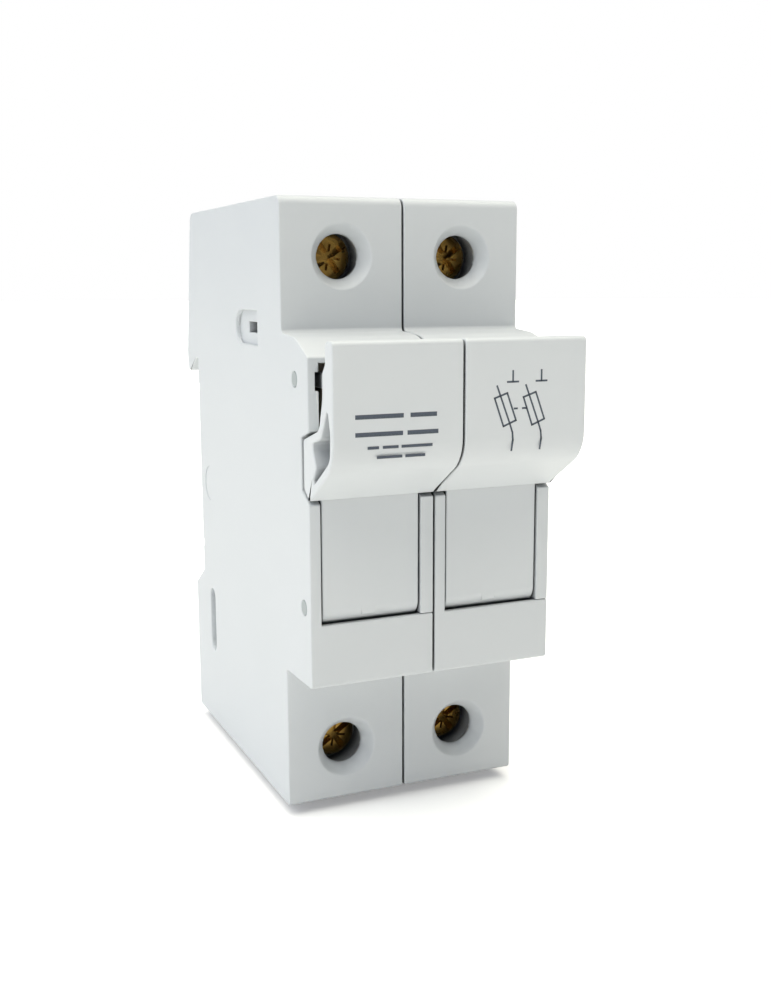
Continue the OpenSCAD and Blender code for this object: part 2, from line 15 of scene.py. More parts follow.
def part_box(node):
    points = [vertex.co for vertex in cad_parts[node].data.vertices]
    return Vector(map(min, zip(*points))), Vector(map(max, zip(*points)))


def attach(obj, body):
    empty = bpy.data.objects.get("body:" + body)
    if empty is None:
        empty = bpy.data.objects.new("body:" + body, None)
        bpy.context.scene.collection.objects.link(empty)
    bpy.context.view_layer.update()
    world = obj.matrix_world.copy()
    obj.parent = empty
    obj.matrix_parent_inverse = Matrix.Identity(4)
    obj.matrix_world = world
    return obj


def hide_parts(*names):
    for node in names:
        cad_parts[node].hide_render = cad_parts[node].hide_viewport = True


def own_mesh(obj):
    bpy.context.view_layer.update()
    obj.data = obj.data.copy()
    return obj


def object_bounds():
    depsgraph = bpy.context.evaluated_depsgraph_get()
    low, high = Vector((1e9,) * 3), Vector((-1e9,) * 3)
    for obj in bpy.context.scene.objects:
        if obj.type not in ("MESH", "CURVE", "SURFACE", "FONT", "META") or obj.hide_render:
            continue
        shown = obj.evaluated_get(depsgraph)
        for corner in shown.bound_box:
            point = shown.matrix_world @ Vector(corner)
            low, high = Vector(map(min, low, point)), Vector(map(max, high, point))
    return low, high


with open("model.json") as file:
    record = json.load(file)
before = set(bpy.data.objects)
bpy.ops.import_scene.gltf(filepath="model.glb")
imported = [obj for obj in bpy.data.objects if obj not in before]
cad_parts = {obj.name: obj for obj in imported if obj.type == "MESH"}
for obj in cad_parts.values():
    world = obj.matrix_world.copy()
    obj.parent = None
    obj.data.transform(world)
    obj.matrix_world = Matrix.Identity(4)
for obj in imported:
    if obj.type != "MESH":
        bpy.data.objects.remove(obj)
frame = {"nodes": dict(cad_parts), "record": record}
cad_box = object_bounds()

MM = 0.001
SIDES = ("left", "right")
ENDS = ("upper", "lower")
BODY_OF = {n: b for b, nodes in frame["record"]["behaviour"]["bodies"].items() for n in nodes}
SLOT_OF = {part["node"]: part["material_slot"] for part in frame["record"]["subparts"]}


# ---- small helpers ----

def cad(node):
    """Lowest and highest corner of a CAD node, in millimetres."""
    low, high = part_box(node)
    return low / MM, high / MM


def linear(code):
    """An sRGB hex colour as linear red, green, blue and alpha."""
    values = [int(code[i:i + 2], 16) / 255 for i in (1, 3, 5)]
    return tuple(v / 12.92 if v <= 0.04045 else ((v + 0.055) / 1.055) ** 2.4 for v in values) + (1.0,)


def add(tree, kind, settings=None, links=None):
    """Adds a node with its settings and links. A setting is one of the node's own properties
    where it has one of that name, and otherwise the value of an input."""
    node = tree.nodes.new(kind)
    for key, value in (settings or {}).items():
        if not isinstance(key, int) and hasattr(node, key):
            setattr(node, key, value)
    for key, value in (settings or {}).items():
        if isinstance(key, int) or not hasattr(node, key):
            node.inputs[key].default_value = value
    for key, source in (links or {}).items():
        tree.links.new(source, node.inputs[key])
    return node


def mesh_object(name, bm):
    """A mesh object from a bmesh drawn in millimetres."""
    bmesh.ops.scale(bm, vec=(MM, MM, MM), verts=bm.verts)
    mesh = bpy.data.meshes.new(name)
    bm.to_mesh(mesh)
    bm.free()
    piece = bpy.data.objects.new(name, mesh)
    bpy.context.scene.collection.objects.link(piece)
    return piece


def baked(piece):
    """The piece with its modifiers applied, as a plain mesh."""
    bpy.context.view_layer.update()
    graph = bpy.context.evaluated_depsgraph_get()
    mesh = bpy.data.meshes.new_from_object(piece.evaluated_get(graph))
    piece.modifiers.clear()
    piece.data = mesh
    mesh.name = piece.name
    return piece


def smooth(piece, angle=30):
    """Smooth shading that keeps flat faces flat, with sharp edges above an angle."""
    for face in piece.data.polygons:
        face.use_smooth = True
    piece.data.set_sharp_from_angle(angle=math.radians(angle))
    even = piece.modifiers.new("even", "WEIGHTED_NORMAL")
    even.keep_sharp = True
    return baked(piece)


def join_to(piece, body, slot, material, *nodes):
    """Rides on a body, gives the material and replaces CAD nodes. The slot is not used."""
    piece.data.materials.clear()
    piece.data.materials.append(material)
    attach(piece, body)
    if nodes:
        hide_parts(*nodes)
    return piece


def stand_for(piece, node, material):
    """The piece takes the place of a CAD node, on its body."""
    return join_to(piece, BODY_OF[node], SLOT_OF[node], material, node)


# ---- rounding the edges of a CAD node ----

SHARE_OF_FACE = 0.45   # of a face's depth that one rounded edge may take
SHARE_OF_EDGE = 0.9    # of an edge's length that the roundings at its ends may take


def room_at(edge, sharp, width):
    """The widest rounding of an edge that the faces beside it leave room for."""
    limit = width
    for face in edge.link_faces:
        closing = 0.0
        for loop in face.loops:
            if loop.vert not in edge.verts:
                continue
            other = loop.edge if loop.edge is not edge else loop.link_loop_prev.edge
            along = edge.other_vert(loop.vert).co - loop.vert.co
            aside = other.other_vert(loop.vert).co - loop.vert.co
            angle = along.angle(aside, math.pi / 2)
            if other not in sharp:
                limit = min(limit, SHARE_OF_FACE * aside.length * math.sin(angle))
            elif loop.is_convex:
                closing += math.tan((math.pi - angle) / 2)
        if closing > 0:
            limit = min(limit, SHARE_OF_EDGE * edge.calc_length() / closing)
    return limit


def on_round_hole(edge):
    """Whether an edge is one short step of a hole's rim in a face that doesn't look sideways."""
    longest_step = 0.5 * MM
    sideways = 0.99
    return (edge.calc_length() < longest_step
            and all(abs(face.normal.x) < sideways for face in edge.link_faces))


def softened(node, width, material, segments=3, angle=35):
    """Stands for a CAD node: its loose triangles merged and its outer edges rounded."""
    same_place = 0.002 * MM
    same_plane = math.radians(0.5)
    piece = bpy.data.objects.new(node + "_soft", frame["nodes"][node].data.copy())
    bpy.context.scene.collection.objects.link(piece)
    bm = bmesh.new()
    bm.from_mesh(piece.data)
    bmesh.ops.remove_doubles(bm, verts=bm.verts, dist=same_place)
    bmesh.ops.dissolve_limit(bm, angle_limit=same_plane, verts=bm.verts, edges=bm.edges)
    # a face round a bore is split up, so that it can't close over the bore
    pierced = [face for face in bm.faces
               if len(face.verts) > 4 and any(map(on_round_hole, face.edges))]
    bmesh.ops.triangulate(bm, faces=pierced)
    layer = bm.edges.layers.float.new("bevel_weight_edge")
    sharp = {edge for edge in bm.edges if len(edge.link_faces) == 2 and not on_round_hole(edge)
             and edge.calc_face_angle_signed(0) > math.radians(angle)}
    for edge in sharp:
        edge[layer] = room_at(edge, sharp, width * MM) / (width * MM)
    bm.to_mesh(piece.data)
    bm.free()
    bevel = piece.modifiers.new("rounding", "BEVEL")
    bevel.width = width * MM
    bevel.segments = segments
    bevel.limit_method = "WEIGHT"
    bevel.use_clamp_overlap = False
    bevel.loop_slide = False
    bevel.miter_outer = "MITER_ARC"
    baked(piece)
    return stand_for(smooth(piece, 40), node, material)


# ---- turned pieces ----

def turned(bm, outline, x, depth, steps=64):
    """Revolves a closed outline of (radius, height) about an upright line."""
    rings = []
    for radius, height in outline:
        if radius == 0:
            rings.append([bm.verts.new((x, -depth, height))])
        else:
            turns = [2 * math.pi * k / steps for k in range(steps)]
            rings.append([
                bm.verts.new((x + radius * math.cos(t), -depth + radius * math.sin(t), height))
                for t in turns])
    for one, two in zip(rings, rings[1:] + rings[:1]):
        for k in range(steps):
            following = k + 1
            corners = list(dict.fromkeys((
                one[k % len(one)], one[following % len(one)],
                two[following % len(two)], two[k % len(two)])))
            if len(corners) > 2:
                bm.faces.new(corners)
    bmesh.ops.recalc_face_normals(bm, faces=bm.faces)


# ---- pieces that follow a rule, as geometry trees ----

def new_tree(name, lengths):
    """An empty geometry tree with named lengths in metres, a place, a turn and a material."""
    tree = bpy.data.node_groups.new(name, "GeometryNodeTree")
    for label, value in lengths.items():
        socket = tree.interface.new_socket(label, in_out="INPUT", socket_type="NodeSocketFloat")
        socket.default_value = value
    for label in ("Place", "Turn"):
        tree.interface.new_socket(label, in_out="INPUT", socket_type="NodeSocketVector")
    tree.interface.new_socket("Material", in_out="INPUT", socket_type="NodeSocketMaterial")
    tree.interface.new_socket("Geometry", in_out="OUTPUT", socket_type="NodeSocketGeometry")
    return tree, add(tree, "NodeGroupInput").outputs


def finish_tree(tree, given, mesh):
    """Turns and places the mesh, realizes it and sets its material."""
    turned_mesh = add(tree, "GeometryNodeTransform", links={"Geometry": mesh, "Rotation": given["Turn"]})
    placed = add(tree, "GeometryNodeTransform",
                 links={"Geometry": turned_mesh.outputs[0], "Translation": given["Place"]})
    real = add(tree, "GeometryNodeRealizeInstances", links={"Geometry": placed.outputs[0]})
    dressed = add(tree, "GeometryNodeSetMaterial",
                  links={"Geometry": real.outputs[0], "Material": given["Material"]})
    add(tree, "NodeGroupOutput", links={"Geometry": dressed.outputs[0]})
    return tree


def lift(tree, geometry, height=None, turn=(0, 0, 0)):
    """Raises a mesh or curve inside a tree, by a fixed or a linked height."""
    moved = add(tree, "GeometryNodeTransform", {"Rotation": turn}, {"Geometry": geometry})
    if height is not None:
        up = add(tree, "ShaderNodeCombineXYZ", links={"Z": height})
        tree.links.new(up.outputs[0], moved.inputs["Translation"])
    return moved.outputs[0]


def grown(name, tree, values):
    """Runs a geometry tree and keeps its result as a plain mesh."""
    piece = mesh_object(name, bmesh.new())
    rule = piece.modifiers.new("rule", "NODES")
    rule.node_group = tree
    for item in tree.interface.items_tree:
        if item.in_out == "INPUT" and item.name in values:
            rule[item.identifier] = values[item.name]
    return smooth(baked(piece))


def coil_tree():
    """An upright coil of round wire, with a closed turn at each end."""
    tree, given = new_tree("coil", {
        "Turns": 6.0, "Mean Radius": 1.6 * MM, "Length": 8.5 * MM, "Wire": 0.6 * MM})
    half_wire = add(tree, "ShaderNodeMath", {"operation": "MULTIPLY", 1: 0.5},
                    {0: given["Wire"]}).outputs[0]
    rise = add(tree, "ShaderNodeMath", {"operation": "SUBTRACT"},
               {0: given["Length"], 1: given["Wire"]}).outputs[0]
    helix = add(tree, "GeometryNodeCurveSpiral", {"Resolution": 40},
                {"Rotations": given["Turns"], "Start Radius": given["Mean Radius"],
                 "End Radius": given["Mean Radius"], "Height": rise})
    ring = add(tree, "GeometryNodeCurvePrimitiveCircle", {"Resolution": 40},
               {"Radius": given["Mean Radius"]})
    path = add(tree, "GeometryNodeJoinGeometry")
    for part in (helix.outputs[0], ring.outputs[0], lift(tree, ring.outputs[0], rise)):
        tree.links.new(part, path.inputs[0])
    section = add(tree, "GeometryNodeCurvePrimitiveCircle", {"Resolution": 10}, {"Radius": half_wire})
    wire = add(tree, "GeometryNodeCurveToMesh", {"Fill Caps": True},
               {"Curve": path.outputs[0], "Profile Curve": section.outputs[0]})
    return finish_tree(tree, given, lift(tree, wire.outputs[0], half_wire))


def screw_tree():
    """A clamp screw: threaded shank up +Z from its tip, and a head with a cross and slot recess."""
    # in thread pitches: how far the thread's root, the middle of its ridge, the tip, and the
    # rim and crown of the head lie inside, and the height of one step of the rim
    root_in, ridge_in, tip_in, rim_in, crown_in, step_up = 0.55, 0.5, 0.8, 0.25, 0.75, 0.35
    # in thread pitches: how much of the shank's two ends the thread leaves plain
    plain_ends = 1.6
    # each wing of the recess, and last its slot: its turn, length, depth, and whether it is fine
    wings = ((35, 4.9, 2.8, False), (125, 4.9, 2.8, False), (80, 3.6, 1.6, True), (170, 3.6, 1.6, True),
             (35, 8.0, 1.2, False))
    fine_wing = 0.35
    tree, given = new_tree("clamp_screw", {
        "Shank Length": 9.4 * MM, "Shank Radius": 2.5 * MM, "Pitch": 0.8 * MM,
        "Head Height": 2.2 * MM, "Head Radius": 3.3 * MM, "Slot Width": 0.9 * MM})

    def sum_of(a, b, scale=1.0):
        """a + b x scale, where b is a socket."""
        total = add(tree, "ShaderNodeMath", {"operation": "MULTIPLY_ADD", 1: scale}, {0: b, 2: a})
        return total.outputs[0]

    def cone(low, high, height):
        """A bar from radius low to radius high."""
        made = add(tree, "GeometryNodeMeshCone", {"Vertices": 48},
                   {"Radius Bottom": low, "Radius Top": high, "Depth": height})
        return made.outputs[0]

    # shank: a core at the thread's root, with a ridge wound round it and a tapered tip
    core = sum_of(given["Shank Radius"], given["Pitch"], -root_in)
    tip = sum_of(core, given["Pitch"], -tip_in)
    ridge_r = sum_of(given["Shank Radius"], given["Pitch"], -ridge_in)
    turns = add(tree, "ShaderNodeMath", {"operation": "DIVIDE"},
                {0: given["Shank Length"], 1: given["Pitch"]})
    wound = add(tree, "ShaderNodeMath", {"operation": "SUBTRACT", 1: plain_ends}, {0: turns.outputs[0]})
    rise = sum_of(given["Shank Length"], given["Pitch"], -plain_ends)
    helix = add(tree, "GeometryNodeCurveSpiral", {"Resolution": 32},
                {"Rotations": wound.outputs[0], "Start Radius": ridge_r, "End Radius": ridge_r,
                 "Height": rise})
    half_pitch = add(tree, "ShaderNodeMath", {"operation": "MULTIPLY", 1: 0.5},
                     {0: given["Pitch"]}).outputs[0]
    section = add(tree, "GeometryNodeCurvePrimitiveCircle", {"Resolution": 4}, {"Radius": half_pitch})
    ridge = add(tree, "GeometryNodeCurveToMesh", {"Fill Caps": True},
                {"Curve": helix.outputs[0], "Profile Curve": section.outputs[0]})

    # head: straight sides, a rounded-off rim in two steps and a flat top
    rim = sum_of(given["Head Radius"], given["Pitch"], -rim_in)
    crown = sum_of(given["Head Radius"], given["Pitch"], -crown_in)
    side_h = sum_of(given["Head Height"], given["Pitch"], -2 * step_up)
    step_h = add(tree, "ShaderNodeMath", {"operation": "MULTIPLY", 1: step_up},
                 {0: given["Pitch"]}).outputs[0]
    shoulder = sum_of(given["Shank Length"], side_h)
    head = add(tree, "GeometryNodeMeshBoolean", {"operation": "UNION", "solver": "EXACT"})
    side = cone(given["Head Radius"], given["Head Radius"], side_h)
    for part in (lift(tree, side, given["Shank Length"]),
                 lift(tree, cone(given["Head Radius"], rim, step_h), shoulder),
                 lift(tree, cone(rim, crown, step_h), sum_of(shoulder, step_h))):
        tree.links.new(part, head.inputs["Mesh 2"])

    # recess: a cross of two wings, a finer cross between them, and a slot right across
    top = sum_of(given["Shank Length"], given["Head Height"])
    cutters = []
    for turn, across, deep, fine in wings:
        size = add(tree, "ShaderNodeCombineXYZ",
                   {"X": across * MM, "Y": fine_wing * MM, "Z": deep * MM},
                   {} if fine else {"Y": given["Slot Width"]})
        wing = add(tree, "GeometryNodeMeshCube", links={"Size": size.outputs[0]})
        cutters.append(lift(tree, wing.outputs[0], top, (0, 0, math.radians(turn))))
    cut = add(tree, "GeometryNodeMeshBoolean", {"operation": "DIFFERENCE", "solver": "EXACT"},
              {"Mesh 1": head.outputs[0]})
    for cutter in cutters:
        tree.links.new(cutter, cut.inputs["Mesh 2"])
    whole = add(tree, "GeometryNodeJoinGeometry")
    shank_low = lift(tree, cone(tip, core, given["Pitch"]))
    above_tip = sum_of(given["Shank Length"], given["Pitch"], -1.0)
    shank = lift(tree, cone(core, core, above_tip), given["Pitch"])
    for part in (shank_low, shank, lift(tree, ridge.outputs[0], given["Pitch"]), cut.outputs[0]):
        tree.links.new(part, whole.inputs[0])
    return finish_tree(tree, given, whole.outputs[0])


# ---- materials ----

def new_material(name):
    material = bpy.data.materials.new(name)
    material.use_nodes = True
    tree = material.node_tree
    tree.nodes.clear()
    return material, tree


def moulded_plastic(name, light, dark, rough=0.42):
    """Glass-filled polyamide, injection moulded in a spark-eroded tool: a fine even grain that
    spreads the highlights, a slow drift of tone where the melt flowed, and painted shade that
    darkens deep seams and bores."""
    material, tree = new_material(name)
    place = add(tree, "ShaderNodeTexCoord")
    # flow marks of about 20 mm
    drift = add(tree, "ShaderNodeTexNoise", {"Scale": 1 / (20 * MM), "Detail": 3.0},
                {"Vector": place.outputs["Object"]})
    tone = add(tree, "ShaderNodeMix", {"data_type": "RGBA", 6: linear(dark), 7: linear(light)},
               {"Factor": drift.outputs["Fac"]})
    # how open the surface is, within 5 mm; closed-in places get painted shade
    open_air = add(tree, "ShaderNodeAmbientOcclusion", {"samples": 6, "Distance": 5 * MM})
    unshaded_share = add(tree, "ShaderNodeMapRange",
                {"From Min": 0.02, "From Max": 0.42, "To Min": 0.0, "To Max": 1.0},
                {"Value": open_air.outputs["AO"]})
    # painted shade: a near-black colour put into deep seams, bores and gaps, where shade falls
    painted_shade_colour = "#2A2E2F"
    colour = add(tree, "ShaderNodeMix", {"data_type": "RGBA", 6: linear(painted_shade_colour)},
                 {"Factor": unshaded_share.outputs["Result"], 7: tone.outputs[2]})
    # grain of 0.18 mm
    grain = add(tree, "ShaderNodeTexNoise", {"Scale": 1 / (0.18 * MM), "Detail": 2.0},
                {"Vector": place.outputs["Object"]})
    gloss = add(tree, "ShaderNodeMapRange", {"To Min": rough - 0.05, "To Max": rough + 0.06},
                {"Value": drift.outputs["Fac"]})
    bump = add(tree, "ShaderNodeBump", {"Strength": 0.25, "Distance": 0.02 * MM},
               {"Height": grain.outputs["Fac"]})
    shader = add(tree, "ShaderNodeBsdfPrincipled", {"IOR": 1.53},
                 {"Base Color": colour.outputs[2], "Roughness": gloss.outputs["Result"],
                  "Normal": bump.outputs["Normal"]})
    add(tree, "ShaderNodeOutputMaterial", links={"Surface": shader.outputs["BSDF"]})
    return material


def metal(name, light, dark, rough, stain_mm=3.0):
    """Bare or plated metal with fine tool marks and a faint uneven tarnish."""
    material, tree = new_material(name)
    place = add(tree, "ShaderNodeTexCoord")
    stain = add(tree, "ShaderNodeTexNoise", {"Scale": 1 / (stain_mm * MM), "Detail": 4.0},
                {"Vector": place.outputs["Object"]})
    tone = add(tree, "ShaderNodeMix", {"data_type": "RGBA", 6: linear(dark), 7: linear(light)},
               {"Factor": stain.outputs["Fac"]})
    gloss = add(tree, "ShaderNodeMapRange", {"To Min": rough - 0.08, "To Max": rough + 0.12},
                {"Value": stain.outputs["Fac"]})
    # tool marks of 0.12 mm
    marks = add(tree, "ShaderNodeTexNoise", {"Scale": 1 / (0.12 * MM), "Detail": 2.0},
                {"Vector": place.outputs["Object"]})
    bump = add(tree, "ShaderNodeBump", {"Strength": 0.3, "Distance": 0.004 * MM},
               {"Height": marks.outputs["Fac"]})
    shader = add(tree, "ShaderNodeBsdfPrincipled", {"Metallic": 1.0},
                 {"Base Color": tone.outputs[2], "Roughness": gloss.outputs["Result"],
                  "Normal": bump.outputs["Normal"]})
    add(tree, "ShaderNodeOutputMaterial", links={"Surface": shader.outputs["BSDF"]})
    return material


def glazed_ceramic():
    """Steatite tube with a thin clear glaze: warm white, with fine dark specks of the clay."""
    material, tree = new_material("glazed_steatite")
    place = add(tree, "ShaderNodeTexCoord")
    # clouds of 4 mm
    cloud = add(tree, "ShaderNodeTexNoise", {"Scale": 1 / (4 * MM), "Detail": 3.0},
                {"Vector": place.outputs["Object"]})
    body = add(tree, "ShaderNodeMix", {"data_type": "RGBA", 6: linear("#E3DFD4"), 7: linear("#EFECE4")},
               {"Factor": cloud.outputs["Fac"]})
    # specks of 0.3 mm
    speck = add(tree, "ShaderNodeTexNoise", {"Scale": 1 / (0.3 * MM), "Detail": 1.0},
                {"Vector": place.outputs["Object"]})
    spot = add(tree, "ShaderNodeMapRange", {"From Min": 0.70, "From Max": 0.78},
               {"Value": speck.outputs["Fac"]})
    colour = add(tree, "ShaderNodeMix", {"data_type": "RGBA", 7: linear("#8E8676")},
                 {"Factor": spot.outputs["Result"], 6: body.outputs[2]})
    bump = add(tree, "ShaderNodeBump", {"Strength": 0.1, "Distance": 0.02 * MM},
               {"Height": cloud.outputs["Fac"]})
    shader = add(tree, "ShaderNodeBsdfPrincipled",
                 {"Roughness": 0.32, "IOR": 1.52, "Coat Weight": 0.4, "Coat Roughness": 0.12},
                 {"Base Color": colour.outputs[2], "Normal": bump.outputs["Normal"]})
    add(tree, "ShaderNodeOutputMaterial", links={"Surface": shader.outputs["BSDF"]})
    return material


def printing_ink():
    """Pad-printed two-part ink: semi-matt dark slate, a little thin where the pad lifted."""
    material, tree = new_material("pad_printed_ink")
    place = add(tree, "ShaderNodeTexCoord")
    # pinholes of 0.15 mm
    cover = add(tree, "ShaderNodeTexNoise", {"Scale": 1 / (0.15 * MM), "Detail": 2.0},
                {"Vector": place.outputs["Object"]})
    colour = add(tree, "ShaderNodeMix", {"data_type": "RGBA", 6: linear("#3B4250"), 7: linear("#5A626E")},
                 {"Factor": cover.outputs["Fac"]})
    shader = add(tree, "ShaderNodeBsdfPrincipled", {"Roughness": 0.5, "IOR": 1.5},
                 {"Base Color": colour.outputs[2]})
    add(tree, "ShaderNodeOutputMaterial", links={"Surface": shader.outputs["BSDF"]})
    return material


HOUSING = moulded_plastic("polyamide_housing", "#D8DBDE", "#D2D6D9")
CARRIER = moulded_plastic("polyamide_carrier", "#DADDE0", "#D4D8DB", 0.38)
PIN = moulded_plastic("acetal_pin", "#A6AEB0", "#9CA3A5", 0.35)
BRASS = metal("yellow_passivated_steel", "#C9A254", "#4E381C", 0.24)
STEEL = metal("zinc_plated_steel", "#B9BDC0", "#9DA1A4", 0.34)
NICKEL = metal("nickel_plated_cap", "#D2D0CB", "#BDBAB3", 0.2)
COPPER = metal("tinned_copper", "#D9D2C4", "#C3B49C", 0.3)
SILVER = metal("silver_strip", "#DEDDD8", "#C9C7C0", 0.25)
SPRING = metal("spring_steel_wire", "#A8ACB0", "#8C9094", 0.3)
CERAMIC = glazed_ceramic()
INK = printing_ink()


# ---- housing and carriers ----

for side in SIDES:
    softened("shell_" + side, 0.2, HOUSING)
    softened("lid_" + side, 0.15, HOUSING)
    softened("carrier_" + side, 0.25, CARRIER)
    softened("rail_clip_" + side, 0.2, HOUSING)
softened("handle_tie", 0.1, CARRIER)
softened("gang_clip", 0.1, HOUSING)
softened("gang_key", 0.1, HOUSING)
softened("pivot_pins", 0.12, PIN)
softened("stop_pins", 0.12, PIN)


# ---- contacts, terminals and springs ----

COIL = coil_tree()
SCREW = screw_tree()


def clamp_screw(place):
    """Fills the CAD screw's box, with its tip at the back and its head in front."""
    low, high = cad("screw_" + place)
    head_h = 2.2
    values = {"Shank Length": (high.y - low.y - head_h) * MM,
              "Head Height": head_h * MM,
              "Head Radius": (high.x - low.x) / 2 * MM, "Material": BRASS,
              "Turn": (math.pi / 2, 0, 0),
              "Place": ((low.x + high.x) / 2 * MM, high.y * MM, (low.z + high.z) / 2 * MM)}
    stand_for(grown("clamp_screw_" + place, SCREW, values), "screw_" + place, BRASS)


def clip_spring(side):
    """Coil of the rail clip."""
    low, high = cad("clip_spring_" + side)
    wire = 0.6
    foot = Vector(((low.x + high.x) / 2, (low.y + high.y) / 2, low.z)) * MM
    values = {"Turns": 6.0,
              "Mean Radius": ((high.x - low.x) - wire) / 2 * MM,
              "Wire": wire * MM,
              "Length": (high.z - low.z) * MM,
              "Place": foot,
              "Material": SPRING}
    piece = grown("clip_coil_" + side, COIL, values)
    stand_for(piece, "clip_spring_" + side, SPRING)
    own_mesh(piece)


for side in SIDES:
    clip_spring(side)
    for end in ENDS:
        place = f"{end}_{side}"
        clamp_screw(place)
        softened("cage_" + place, 0.15, STEEL)
        softened("jaw_" + place, 0.1, COPPER)
        softened("jaw_spring_" + place, 0.06, SPRING)


# ---- fuse links ----

def fuse_link(side):
    """Ceramic tube with crimped caps, and the strip inside it."""
    low, high = cad("fuse_caps_" + side)
    x, depth = (low.x + high.x) / 2, -(low.y + high.y) / 2
    radius = (high.x - low.x) / 2
    cap_l, wall, slip = 10.0, 0.5, 0.03
    tube_low, tube_high = cad("fuse_tube_" + side)
    tube_r = (tube_high.x - tube_low.x) / 2
    # a cap's outline from the middle of its end: how far it lies inside the radius, and along it
    rounded_end = ((0.75, 0), (0.35, 0.07), (0.1, 0.3), (0, 0.7))
    crimp = ((0, 6.5), (0.08, 6.7), (0.22, 7.0), (0.08, 7.3), (0, 7.5))
    rim = ((0, cap_l - 0.15), (0.12, cap_l))
    outline = ([(0, 0)] + [(radius - drop, along) for drop, along in rounded_end + crimp + rim]
               + [(tube_r + slip, cap_l), (tube_r + slip, wall), (0, wall)])
    bm = bmesh.new()
    for end, inwards in ((high.z, -1), (low.z, 1)):
        turned(bm, [(r, end + inwards * along) for r, along in outline], x, depth)
    stand_for(smooth(mesh_object("crimped_caps_" + side, bm), 35), "fuse_caps_" + side, NICKEL)
    tube_wall, chamfer = 1.4, 0.25
    bore = tube_r - tube_wall
    bm = bmesh.new()
    turned(bm, [(bore, tube_low.z), (tube_r - chamfer, tube_low.z), (tube_r, tube_low.z + chamfer),
                (tube_r, tube_high.z - chamfer), (tube_r - chamfer, tube_high.z), (bore, tube_high.z)],
           x, depth)
    stand_for(smooth(mesh_object("glazed_tube_" + side, bm), 35), "fuse_tube_" + side, CERAMIC)
    strip = frame["nodes"]["fuse_element_" + side]
    strip.data.materials.clear()
    strip.data.materials.append(SILVER)


for side in SIDES:
    fuse_link(side)


# ---- printed marks on the handles ----

def stroke(bm, start, end, width, face_y):
    """A flat bar of ink from one point to another, across a face that looks along -Y."""
    film = 0.01
    along = (Vector(end) - Vector(start)).normalized()
    side = Vector((-along.y, along.x)) * width / 2
    corners = [Vector(start) - side, Vector(end) - side, Vector(end) + side, Vector(start) + side]
    front = [bm.verts.new((c.x, face_y - film, c.y)) for c in corners]
    back = [bm.verts.new((c.x, face_y + film, c.y)) for c in corners]
    bm.faces.new(front)
    bm.faces.new(back[::-1])
    for k in range(4):
        bm.faces.new((front[k], back[k], back[(k + 1) % 4], front[(k + 1) % 4]))
    bmesh.ops.recalc_face_normals(bm, faces=bm.faces)


def rating_bars():
    """Plain bars in four rows, where a rating is printed. Each row is its drop below the
    handle's top, its height, and its bars' starts and ends from the handle's left edge."""
    low, high = cad("carrier_left")
    rows = (
        (9.1, 0.55, ((2.9, 9.3), (10.2, 13.8))),
        (11.25, 0.55, ((2.9, 9.2), (9.8, 14.0))),
        (12.9, 0.36, ((4.5, 6.0), (6.5, 8.6), (9.0, 13.2))),
        (14.1, 0.36, ((5.7, 9.1), (9.5, 12.2))))
    bm = bmesh.new()
    for drop, height, bars in rows:
        for start, end in bars:
            stroke(bm, (low.x + start, high.z - drop), (low.x + end, high.z - drop), height, low.y)
    return mesh_object("rating_bars", bm)


def switch_symbol():
    """The usual wiring symbol of two linked fuse switches. Points are given from the handle's
    left edge and down from its top."""
    low, high = cad("carrier_right")
    line = 0.24
    contact = ((6.65, 4.2), (6.65, 5.55))
    contact_bar = ((5.9, 5.55), (7.4, 5.55))
    fuse_box = ((4.05, 7.55), (5.85, 6.95), (7.15, 10.45), (5.35, 11.15), (4.05, 7.55))
    blade_and_lead = ((4.4, 6.05), (6.25, 10.8), (6.65, 11.95), (6.75, 12.95), (6.55, 14.25))
    paths = (contact, contact_bar, fuse_box, blade_and_lead)
    pole_gap = 4.15
    link_drop, link_dashes = 8.95, ((6.8, 7.4), (8.0, 8.8))
    bm = bmesh.new()
    for shift in (0, pole_gap):
        for path in paths:
            for start, end in zip(path, path[1:]):
                a, b = (Vector((low.x + shift + p[0], high.z - p[1])) for p in (start, end))
                reach = (b - a).normalized() * line / 2
                stroke(bm, a - reach, b + reach, line, low.y)
    for start, end in link_dashes:
        stroke(bm, (low.x + start, high.z - link_drop), (low.x + end, high.z - link_drop), line, low.y)
    return mesh_object("switch_symbol", bm)


for mark in (rating_bars(), switch_symbol()):
    join_to(mark, "fuse_carriers", "carrier_plastic", INK)


# ---- studio ----

FLOOR_Z = cad_box[0].z - 0.2 * MM
FLOOR_R = 6000
FLOOR_LIFT = 0.28      # glow the camera sees on the floor, so that it meets the white backdrop
BASE_LIGHT = 0.06      # light from every side of the sky
# towards where each patch of sky shines, the cosine where it starts, and its strength
TOP, LEFT = ((0, 0, 1), 0.6, 3.1), ((-1, 0, 0.2), 0.0, 0.55)
BACK, FRONT = ((0, 1, 0), 0.0, 0.25), ((0.5, -0.87, 0), 0.0, 0.03)
SKY_COOL, SKY_WARM = "#E4EEFF", "#FFFCEE"
KEY_PLACE, KEY_AIM, KEY_SIZE, KEY_POWER = (-0.5, -0.2, 0.55), (0, -0.02, 0), 0.35, 0.7
CAMERA_YAW, CAMERA_PITCH, CAMERA_ROLL = 23.54, -10.05, -0.22
CAMERA_PLACE = (-69.2, -195.0, 29.3)
CAMERA_LENS = 43.62


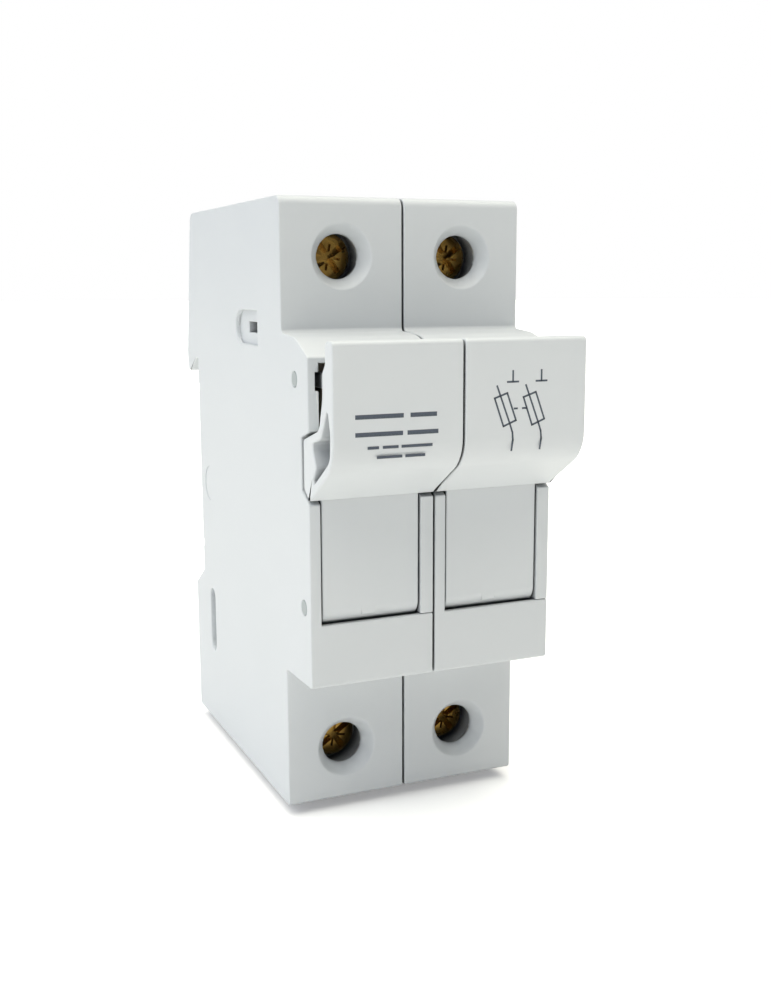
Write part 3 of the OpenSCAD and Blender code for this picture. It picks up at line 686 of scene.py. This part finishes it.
def studio_world():
    """Even pale studio light, stronger from above and from the left, with a white backdrop."""
    world = bpy.data.worlds.new("studio")
    world.use_nodes = True
    tree = world.node_tree
    tree.nodes.clear()
    place = add(tree, "ShaderNodeTexCoord")

    def lobe(direction, edge, strength):
        """Light that grows from an edge of the sky towards a direction."""
        along = add(tree, "ShaderNodeVectorMath", {"operation": "DOT_PRODUCT", 1: direction},
                    {0: place.outputs["Generated"]})
        return add(tree, "ShaderNodeMapRange", {"From Min": edge, "To Max": strength},
                   {"Value": along.outputs["Value"]}).outputs[0]

    top, left, back, front = (lobe(*patch) for patch in (TOP, LEFT, BACK, FRONT))
    sides = add(tree, "ShaderNodeMath", {"operation": "ADD"}, {0: left, 1: back})
    all_round = add(tree, "ShaderNodeMath", {"operation": "ADD"}, {0: sides.outputs[0], 1: front})
    cool = add(tree, "ShaderNodeMath", {"operation": "ADD", 1: BASE_LIGHT}, {0: all_round.outputs[0]})
    level = add(tree, "ShaderNodeMath", {"operation": "ADD"}, {0: cool.outputs[0], 1: top})
    share = add(tree, "ShaderNodeMath", {"operation": "DIVIDE"}, {0: top, 1: level.outputs[0]})
    tint = add(tree, "ShaderNodeMix", {"data_type": "RGBA", 6: linear(SKY_COOL), 7: linear(SKY_WARM)},
               {"Factor": share.outputs[0]})
    sky = add(tree, "ShaderNodeBackground",
              links={"Color": tint.outputs[2], "Strength": level.outputs[0]})
    backdrop = add(tree, "ShaderNodeBackground", {"Color": (1.0, 1.0, 1.0, 1.0), "Strength": 1.0})
    path = add(tree, "ShaderNodeLightPath")
    mix = add(tree, "ShaderNodeMixShader",
              links={0: path.outputs["Is Camera Ray"], 1: sky.outputs[0], 2: backdrop.outputs[0]})
    add(tree, "ShaderNodeOutputWorld", links={"Surface": mix.outputs[0]})
    bpy.context.scene.world = world


def pale_floor():
    """A wide pale disc that the holder stands just above."""
    bm = bmesh.new()
    bmesh.ops.create_circle(bm, cap_ends=True, segments=96, radius=FLOOR_R)
    floor = mesh_object("floor", bm)
    floor.location.z = FLOOR_Z
    material, tree = new_material("pale_floor")
    path = add(tree, "ShaderNodeLightPath")
    glow = add(tree, "ShaderNodeMath", {"operation": "MULTIPLY", 1: FLOOR_LIFT},
               {0: path.outputs["Is Camera Ray"]})
    shader = add(tree, "ShaderNodeBsdfPrincipled",
                 {"Base Color": linear("#FAFAFA"), "Roughness": 0.9,
                  "Emission Color": (1.0, 1.0, 1.0, 1.0)},
                 {"Emission Strength": glow.outputs[0]})
    add(tree, "ShaderNodeOutputMaterial", links={"Surface": shader.outputs["BSDF"]})
    floor.data.materials.append(material)


def key_light():
    """A soft round lamp from the upper left. Its lengths are metres."""
    data = bpy.data.lights.new("key", "AREA")
    data.shape = "DISK"
    data.size = KEY_SIZE
    data.energy = KEY_POWER
    light = bpy.data.objects.new("key", data)
    light.location = Vector(KEY_PLACE)
    light.rotation_euler = (Vector(KEY_AIM) - Vector(KEY_PLACE)).to_track_quat("-Z", "Y").to_euler()
    bpy.context.scene.collection.objects.link(light)


def camera():
    """Looks down on the front from the left, as a hand-held camera 0.2 m away does."""
    yaw, pitch, roll = (math.radians(v) for v in (CAMERA_YAW, CAMERA_PITCH, CAMERA_ROLL))
    forward = Vector((math.sin(yaw) * math.cos(pitch), math.cos(yaw) * math.cos(pitch), math.sin(pitch)))
    right = Vector((math.cos(yaw), -math.sin(yaw), 0))
    up = right.cross(forward)
    right, up = (math.cos(roll) * right + math.sin(roll) * up,
                 -math.sin(roll) * right + math.cos(roll) * up)
    data = bpy.data.cameras.new("camera")
    data.lens = CAMERA_LENS
    data.clip_start = 0.01
    data.clip_end = 50
    view = bpy.data.objects.new("camera", data)
    axes = Matrix((right, up, -forward)).transposed()
    view.matrix_world = Matrix.Translation(Vector(CAMERA_PLACE) * MM) @ axes.to_4x4()
    bpy.context.scene.collection.objects.link(view)
    bpy.context.scene.camera = view


bpy.context.scene.view_settings.view_transform = "Standard"
studio_world()
pale_floor()
key_light()
camera()
